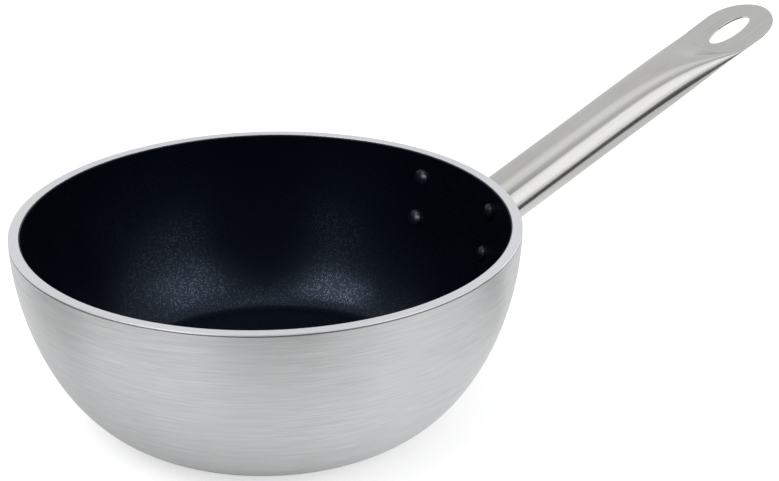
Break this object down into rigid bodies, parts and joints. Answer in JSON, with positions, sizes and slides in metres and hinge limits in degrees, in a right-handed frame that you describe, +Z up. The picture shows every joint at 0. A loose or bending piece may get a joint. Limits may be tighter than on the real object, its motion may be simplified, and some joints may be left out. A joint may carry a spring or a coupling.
{
  "type": "deep saute pan",
  "caption": "Deep round-sided aluminium saute pan, dark non-stick inside, with a riveted steel tube handle pressed flat at its end and punched with a hanging hole.",
  "frame": {"origin": "centre of the flat resting face under the pan", "axes": "+Z up out of the pan, +X along the handle, away from the pan"},
  "size_m": [0.366, 0.2, 0.1196],
  "materials": {
    "pan_metal": "satin, brushed round the pan",
    "nonstick": "dark blue-black non-stick, low sheen, fine pale flecks",
    "handle_steel": "satin polished tube",
    "bracket_steel": "satin plate",
    "weld_metal": "dull weld bead",
    "rivet_metal": "dull aluminium; heads inside the pan coated dark"
  },
  "bodies": {
    "root": {"pan_body": "pan_metal", "nonstick_coating": "nonstick", "handle_tube": "handle_steel", "handle_bracket": "bracket_steel", "handle_weld": "weld_metal", "rivet_upper_left": "rivet_metal", "rivet_upper_right": "rivet_metal", "rivet_lower_left": "rivet_metal", "rivet_lower_right": "rivet_metal"}
  },
  "joints": []
}
